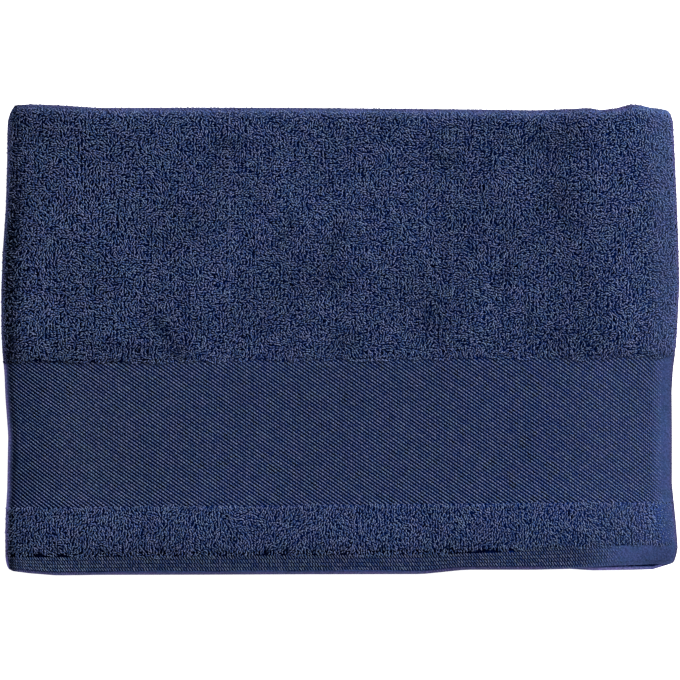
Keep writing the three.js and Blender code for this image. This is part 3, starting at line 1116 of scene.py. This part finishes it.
def makeFloatTree():
    tree, sizes, output = startTree("wovenFloats", {"Stray": "Float"})
    stood = standing(tree, named(tree, "outward", "FLOAT_VECTOR"), named(tree, "lie", "FLOAT_VECTOR"))
    stray = combine(tree, *(evenSpread(tree, sizes["Stray"], seed) for seed in (12, 22, 32)))
    size = randomFloat(tree, sizes["Smallest"], sizes["Largest"], 42)
    longer, narrower = (times(tree, named(tree, key, "FLOAT"), size) for key in ("stretch", "narrow"))
    scale = combine(tree, longer, narrower, size)
    setShapes(tree, sizes, output, sizes["Geometry"], turnedBy(tree, stood, stray), scale)
    return tree


def growOn(bed, tree, sizes, name):
    # runs a tree on a bed and keeps what it makes as a plain mesh
    modifier = bed.modifiers.new(tree.name, "NODES")
    modifier.node_group = tree
    for socket in tree.interface.items_tree:
        if socket.in_out == "INPUT" and socket.name in sizes:
            modifier[socket.identifier] = sizes[socket.name]
    graph = bpy.context.evaluated_depsgraph_get()
    mesh = bpy.data.meshes.new_from_object(bed.evaluated_get(graph))
    bpy.data.objects.remove(bed)
    piece = newObject(name, mesh)
    mesh.name = name
    triangles = sum(len(face.vertices) - 2 for face in mesh.polygons)
    print(name, triangles, "triangles")
    return piece


def sweep(name, path, radii, flatten=1.0):
    # a closed three-sided tube along a path: a point at either end and a ring at each place between
    heading = np.gradient(path, axis=0)
    heading /= np.linalg.norm(heading, axis=1)[:, None]
    points = []
    for middle, way, radius in zip(path[1:-1], heading[1:-1], radii):
        aside = np.cross(way, (0, 0, 1))
        aside /= np.linalg.norm(aside)
        up = np.cross(aside, way)
        for a in 2 * np.pi * np.arange(3) / 3 - np.pi / 2:
            points.append(middle + radius * (math.cos(a) * aside + flatten * math.sin(a) * up))
    start, end, last = len(points), len(points) + 1, len(points) - 3
    faces = []
    for i, j in ((0, 1), (1, 2), (2, 0)):
        faces += [(start, i, j), (end, last + j, last + i)]
        faces += [(ring + i, ring + 3 + i, ring + 3 + j, ring + j) for ring in range(0, last, 3)]
    points = np.array([*points, path[0], path[-1]]) * mm
    z = points[:, 2]
    return newMesh(name, points, faces, {"rise": (z - z.min()) / (z.max() - z.min())})


def shapeCollection(name, meshes):
    collection = bpy.data.collections.new(name)
    for mesh in meshes:
        collection.objects.link(bpy.data.objects.new(mesh.name, mesh))
    return collection


# The terry's loops

loops = {
    "span": 1.75,          # from foot to foot
    "height": 2.1,
    "thickness": 0.28,
    "bend": 0.45,
    "curl": 0.35,
    "crown": 0.1,          # how far the crowns stand out of the solid's face
    "kinds": 10,
    "foldOut": 0.15,       # how far out the folds' loops stand
    "roundSide": 50,       # how far round the side and back folds the fine loops go, in degrees
    "roundBack": 58,
    "ragged": 1.1,         # how uneven the edges of the pile are
    "hangLift": 0.85,      # how far up the loops that hang over a band stay
}


def makeLoopShapes(name, ringCount):
    chance = np.random.default_rng(5)
    meshes = []
    for kind in range(loops["kinds"]):
        t = np.array([0, *np.linspace(0.16, 0.84, ringCount), 1])
        bend = loops["bend"] * chance.uniform(-1, 1)
        curl = loops["curl"] * chance.uniform(-1, 1)
        span = loops["span"] * chance.uniform(0.85, 1.2)
        lopsided = chance.uniform(-0.25, 0.25)
        height = loops["height"] * chance.uniform(0.9, 1.08)
        x = span * (t - 0.5) + 0.3 * lopsided * np.sin(np.pi * t)
        y = bend * np.sin(np.pi * t) + curl * np.sin(2 * np.pi * t)
        z = height * np.sin(np.pi * t) ** 0.45 * (1 + lopsided * (t - 0.5))
        path = np.stack([x, y, z - loops["height"] + loops["crown"] - loops["thickness"]], axis=1)
        radii = loops["thickness"] * (0.9 + 0.14 * np.sin(np.pi * t[1:-1])) * chance.uniform(0.88, 1.1)
        meshes.append(sweep(f"{name}{kind}", path, radii))
    return shapeCollection(name, meshes)


def raggedEdge(x, seed):
    # an uneven line, as the pile's edge has
    waves = np.sin(x / 2.3 + seed) + 0.9 * np.sin(x / 5.9 + 2.1 * seed)
    waves = waves + 0.7 * np.sin(x / 17.0 + 3.7 * seed)
    return loops["ragged"] * waves / 2.2


def makeBed(name, start, end, rows, lines, ragged=(0, 0), over=None, hollowed=False, out=0):
    # a grid over the outer face between two distances from the hem
    side, x, turn = (line[None] for line in lines)
    flatX = acrossOf(side, x)
    first = start + ragged[0] * raggedEdge(flatX, 1.0) - (over(flatX) if over else 0)
    last = end + ragged[1] * raggedEdge(flatX, 2.0)
    place = placeOnPath(first + (last - first) * np.linspace(0, 1, rows)[:, None])
    sunk = hollowDepth(flatX, place["y"]) if hollowed else -out
    if over:
        # loops beyond the pile's own ground lie over the lower cloth next to it
        sunk = sunk - loops["hangLift"] * (turnedPly - place["outerRadius"])
    points = clothPoint(place, side, x, turn, sunk)
    rim = rimOf(place, points).reshape(-1, 3)
    return newObject(name, newMesh(name, toMetres(points), gridFaces(*points.shape[:2]), {"rim": rim}))


def joinBeds(beds):
    with bpy.context.temp_override(active_object=beds[0], selected_editable_objects=beds):
        bpy.ops.object.join()
    return beds[0]


def flatLines(fromX, toX, count, facing=1):
    x = np.linspace(fromX, toX, count)
    return np.array([(0, value, facing * math.pi / 2) for value in x]).T


def sideLines(side, fromTurn, toTurn, count):
    turns = np.radians(np.linspace(fromTurn, toTurn, count))
    if side < 0:
        turns = turns[::-1]
    return np.array([(side, 0, turn) for turn in turns]).T


pileTree = makePileTree()
lowest = lowCorner[2] + 0.0001

# what the tree is given for the open pile, for the strip and for the folds
openPile = {
    "Shapes": makeLoopShapes("fineLoop", 3),
    "Spacing": 1.03 * mm,
    "Most": 7.0 / mm ** 2,     # 7 loops are tried on each square millimetre
    "Grain": 60,
    "Heading": 1.7,
    "Turning": 14.0,
    "Sway": 0.6,
    "Lean": 0.3,
    "Smallest": 0.85,
    "Largest": 1.12,
    "Lowest": lowest,
    "Finish": loopYarn,
}
stripPile = {**openPile, "Turning": 5.0}
foldPile = {
    **openPile,
    "Shapes": makeLoopShapes("plainLoop", 2),
    "Spacing": 2.0 * mm,
    "Smallest": 0.76,
    "Largest": 1.02,
    "Finish": foldYarn,
}
piles = []


def growPile(bed, name, seed, sizes):
    piles.append(growOn(bed, pileTree, {**sizes, "Seed": seed}, name))


flatEdge = halfWidth - turnedPly
leftRound, rightRound = (sideLines(side, 86, loops["roundSide"], 5) for side in (-1, 1))
topEnd = folds[0]["start"] + loops["roundBack"] / 180 * math.pi * pathRadius
third = flatEdge / 3
for seed, name, before, fromX, toX, after in (
    (10, "pile_left", [leftRound], -flatEdge, -third, []),
    (11, "pile_middle", [], -third, third, []),
    (12, "pile_right", [], third, flatEdge, [rightRound]),
):
    lines = np.concatenate([*before, flatLines(fromX, toX, 60), *after], axis=1)
    bed = makeBed(name + "_bed", borderEnd, topEnd, 110, lines, (1, 0), pileHang, hollowed=True)
    growPile(bed, name, seed, openPile)

lines = np.concatenate([leftRound, flatLines(-flatEdge, flatEdge, 240), rightRound], axis=1)
bed = makeBed("strip_bed", hemEnd, stripEnd + 0.4, 28, lines, (0.9, 0.6), stripHang)
growPile(bed, "pile_strip", 20, stripPile)


def growOnFolds(name, seed, stretches):
    # on stretches of the cloth: start, end, rows and lines of each
    bed = joinBeds([makeBed(name, *stretch, out=loops["foldOut"]) for stretch in stretches])
    growPile(bed, name, seed, foldPile)


for side, name in ((-1, "pile_left_folds"), (1, "pile_right_folds")):
    upper, lower = (sideLines(side, start, -78, 10) for start in (loops["roundSide"] - 2, 84))
    growOnFolds(name, 30 + side, [
        (hemEnd, stripEnd, 14, upper),
        (borderEnd, folds[0]["end"], 120, upper),
        (folds[0]["end"], clothEnd - borderEnd, 760, lower),
        (clothEnd - stripEnd, clothEnd - hemEnd, 14, lower),
    ])

lines = flatLines(-flatEdge, flatEdge, 180)
starts = topEnd, folds[2]["start"], folds[4]["start"]
stretches = [(start, turn["end"], 24, lines) for start, turn in zip(starts, folds[::2])]
growOnFolds("pile_back_folds", 40, stretches)

slit = fold["flapSlit"] / 2
flaps = [flatLines(*ends, 90, facing=-1) for ends in ((-slit, -flatEdge), (flatEdge, slit))]
stretches = [(turn["start"], turn["end"], 24, flap) for turn in folds[1::2] for flap in flaps]
growOnFolds("pile_front_folds", 50, stretches)
print("loops made")


# The twill border and the hem

twill = {
    "warp": 1.345,         # between neighbouring columns
    "weft": 0.935,         # between neighbouring rows
    "every": 2,            # a float stands on every second column of a row
    "lie": (1, -1),        # the columns and rows that it crosses
    "length": 1.66,
    "thickness": 0.42,
    "flatten": 0.75,
    "sunk": 0.12,
    "thinLeft": 0.27,      # how much thinner they show towards the left
    "thinLeftX": (-167, -135),
    "deeper": 0.5,         # how much deeper they lie where the cloth is soft
    "stray": 0.12,
}

hem = {
    **twill,
    "warp": 1.38,
    "weft": 1.79,
    "every": 1,
    "lie": (0.9, -1),
    "length": 2.2,
    "thickness": 0.33,
    "sunk": 0.08,
    "thinLeft": 0.0,
    "stray": 0.2,
}

beads = {
    "kinds": 5,
    "flat": 0.33,          # how far its even middle reaches, as a share of its length
    "dip": 0.75,           # how far its ends go down, as a share of its thickness
    "smallest": 0.93,
    "largest": 1.07,
    "softest": 0.96,       # no floats where the cloth is softer than this
    "first": 0.2,          # how far from the edge of the cloth the first ones lie
}

crowding = {
    "left": 0.14,
    "right": 0.3,
    "reach": 27,
    "wrap": 4.0,           # how far the floats are carried round a side fold
}


def threadColumns(pitch):
    # places of the threads across the cloth, closer near the side folds
    columns = [0.0]
    for way, share in ((1, crowding["right"]), (-1, crowding["left"])):
        x = 0.0
        while abs(x) < halfWidth + crowding["wrap"]:
            nearFold = ease(abs(x), (halfWidth - crowding["reach"], halfWidth))
            x += way * pitch * (1 - share * nearFold)
            columns.append(x)
    return np.sort(columns)


def pointAcross(fromHem, x, sunk):
    # a point of the outer face at a distance across it, carried on round the side folds
    place = placeOnPath(fromHem)
    edge = halfWidth - place["outerRadius"]
    beyond = np.maximum(np.abs(x) - edge, 0)
    side = np.where(beyond > 0, np.sign(x), 0)
    turn = np.pi / 2 - beyond / place["outerRadius"]
    return clothPoint(place, side, x, turn, sunk)


threadTree = makeFloatTree()


def markFloats(name, start, end, look, fromX=0, covered=None):
    # a point for each float, with its outward way, its lie, its length and its rim
    columns = threadColumns(look["warp"])
    rows = np.arange(0, (end - start) / look["weft"])
    number, row = np.meshgrid(np.arange(len(columns)), rows, indexing="ij")
    x, s = columns[number], start + look["weft"] * (row + 0.5)
    kept = ((number + row) % look["every"] == 0) & (np.abs(x) >= fromX) & (s > rollEnd(x) + 0.1)
    if covered:
        kept &= s < end - covered(x)
    kept &= rimOf(placeOnPath(s), pointAcross(s, x, 0))[..., 0] < beads["softest"]
    x, s, number = x[kept], s[kept], number[kept]
    sunk, reach = look["sunk"], 0.2
    here = pointAcross(s, x, sunk)
    rim = rimOf(placeOnPath(s), here)
    here = mix(here, pointAcross(s, x, sunk + look["deeper"]), rim[:, :1] ** 2)
    acrossWay = (pointAcross(s, x + reach, sunk) - pointAcross(s, x - reach, sunk)) / (2 * reach)
    upWay = (pointAcross(s + reach, x, sunk) - pointAcross(s - reach, x, sunk)) / (2 * reach)
    outward = np.cross(acrossWay, upWay)
    outward /= np.linalg.norm(outward, axis=1)[:, None]
    pitch = np.gradient(columns)[number][:, None]
    toSide, toHem = look["lie"]
    heading = toSide * pitch * acrossWay + toHem * look["weft"] * upWay
    nominal = math.hypot(toSide * look["warp"], toHem * look["weft"])
    stretch = np.linalg.norm(heading, axis=1) / nominal
    thin = 1 - look["thinLeft"] * fade(x, look["thinLeftX"])
    return newObject(name + "_marks", newMesh(name + "_marks", toMetres(here), [], {
        "outward": outward, "lie": heading / nominal / stretch[:, None], "stretch": stretch,
        "narrow": thin * pitch[:, 0] / look["warp"] / stretch, "rim": rim,
    }))


def makeFloats(name, marks, look, finish):
    # sets a short bead of thread on each mark
    chance = np.random.default_rng(9)
    shapes = []
    t = np.array([-0.5, -beads["flat"], beads["flat"], 0.5])
    dip = np.array([-beads["dip"], 0, 0, -beads["dip"]]) * look["thickness"]
    path = np.stack([look["length"] * t, 0 * t, dip], axis=1)
    for kind in range(beads["kinds"]):
        radii = look["thickness"] * chance.uniform(0.88, 1.1, 2)
        shapes.append(sweep(f"{name}Bead{kind}", path, radii, look["flatten"]))
    return growOn(joinBeds(marks), threadTree, {
        "Shapes": shapeCollection(name + "Beads", shapes), "Stray": look["stray"], "Lowest": lowest,
        "Smallest": beads["smallest"], "Largest": beads["largest"], "Finish": finish,
    }, name)


def underPile(x):
    # how much of the border the pile's loops cover
    clear = ease(x, hang["borderX"])
    shown = 0.9 * np.sin(x / 1.7 + 2 * np.sin(x / 9)) * np.sin(x / 6.1) - 0.5
    return pileHang(x) + shown * (1 - 0.5 * clear) - 0.5 * clear


def underStrip(x):
    return spotReach(x) + hang["gap"]


first, foldOnly = beads["first"], halfWidth - 2
border = makeFloats("border_floats", [
    markFloats("border_top", stripEnd, borderEnd, twill, covered=underPile),
    markFloats("border_below", clothEnd - borderEnd, clothEnd - stripEnd, twill, foldOnly),
], twill, floatYarn)
hemFloats = makeFloats("hem_floats", [
    markFloats("hem_top", first, hemEnd, hem, covered=underStrip),
    markFloats("hem_below", clothEnd - hemEnd, clothEnd - first, hem, foldOnly),
], hem, hemYarn)
print("border and hem made")


# The pieces, attached to one root body, with the solid hidden

pieces = [cloth, *piles, border, hemFloats]
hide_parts("towel")
for piece in pieces:
    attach(piece, "root")


# Floor, light and camera

studio = {
    "floorSize": 6.0,
    "floorGap": 0.0004,    # how far it lies under the towel
    "floorColour": (0.92, 0.92, 0.92, 1),
    "roughness": 0.9,
    "sheen": 0,
    "sheenRoughness": 0.5,
    "grain": 0.05,
    "grainScale": 60,
    "grainHeight": 0.0005,
    "floorGlow": 0.75,
    "sky": 0.65,
    "keyPlace": (2.1, 1.25, 1.4),
    "keySize": 1.0,
    "keyPower": 200,
}


def makeFloor():
    # a white table that is also lit a little from below
    half = studio["floorSize"] / 2
    steps = np.linspace(-half, half, 9)
    points = np.array([(x, y, lowCorner[2] - studio["floorGap"]) for y in steps for x in steps])
    floor = newObject("floor", newMesh("floor", points, gridFaces(9, 9)))
    material, tree, shader = nodeMaterial("pale_floor", studio)
    grain = noiseOf(tree, objectPlace(tree), studio["grainScale"], 3)
    bumpInto(tree, shader, grain, studio["grain"], studio["grainHeight"])
    shader.inputs["Base Color"].default_value = studio["floorColour"]
    shader.inputs["Emission Color"].default_value = (1, 1, 1, 1)
    shader.inputs["Emission Strength"].default_value = studio["floorGlow"]
    floor.data.materials.append(material)


def addSoftbox(name, place, size, power):
    # aimed at the middle of the frame
    light = bpy.data.lights.new(name, "AREA")
    light.size, light.energy = size, power
    box = newObject(name, light)
    box.location = place
    box.rotation_euler = (-Vector(place)).to_track_quat("-Z", "Y").to_euler()


def setStudio():
    makeFloor()
    addSoftbox("key", studio["keyPlace"], studio["keySize"], studio["keyPower"])
    world = bpy.data.worlds.new("studio")
    world.use_nodes = True
    background = world.node_tree.nodes["Background"]
    background.inputs["Color"].default_value = (1, 1, 1, 1)
    background.inputs["Strength"].default_value = studio["sky"]
    bpy.context.scene.world = world
    bpy.context.scene.view_settings.view_transform = "Standard"


view = {
    "height": 3.0,
    "pixel": 0.0005162,    # real size of one pixel, at the rims' height
    "rims": 0.029,
    "toFront": 0.0004,
    "toLeft": 0.0002,
    "pixels": 680,
    "sensor": 36.0,
}


def addCamera():
    lens = bpy.data.cameras.new("camera")
    seen = view["pixel"] * view["pixels"]
    lens.sensor_width = view["sensor"]
    lens.lens = view["sensor"] * (view["height"] - view["rims"]) / seen
    camera = newObject("camera", lens)
    camera.location = (-view["toLeft"], -view["toFront"], view["height"])
    bpy.context.scene.camera = camera


setStudio()
addCamera()
print("studio set")
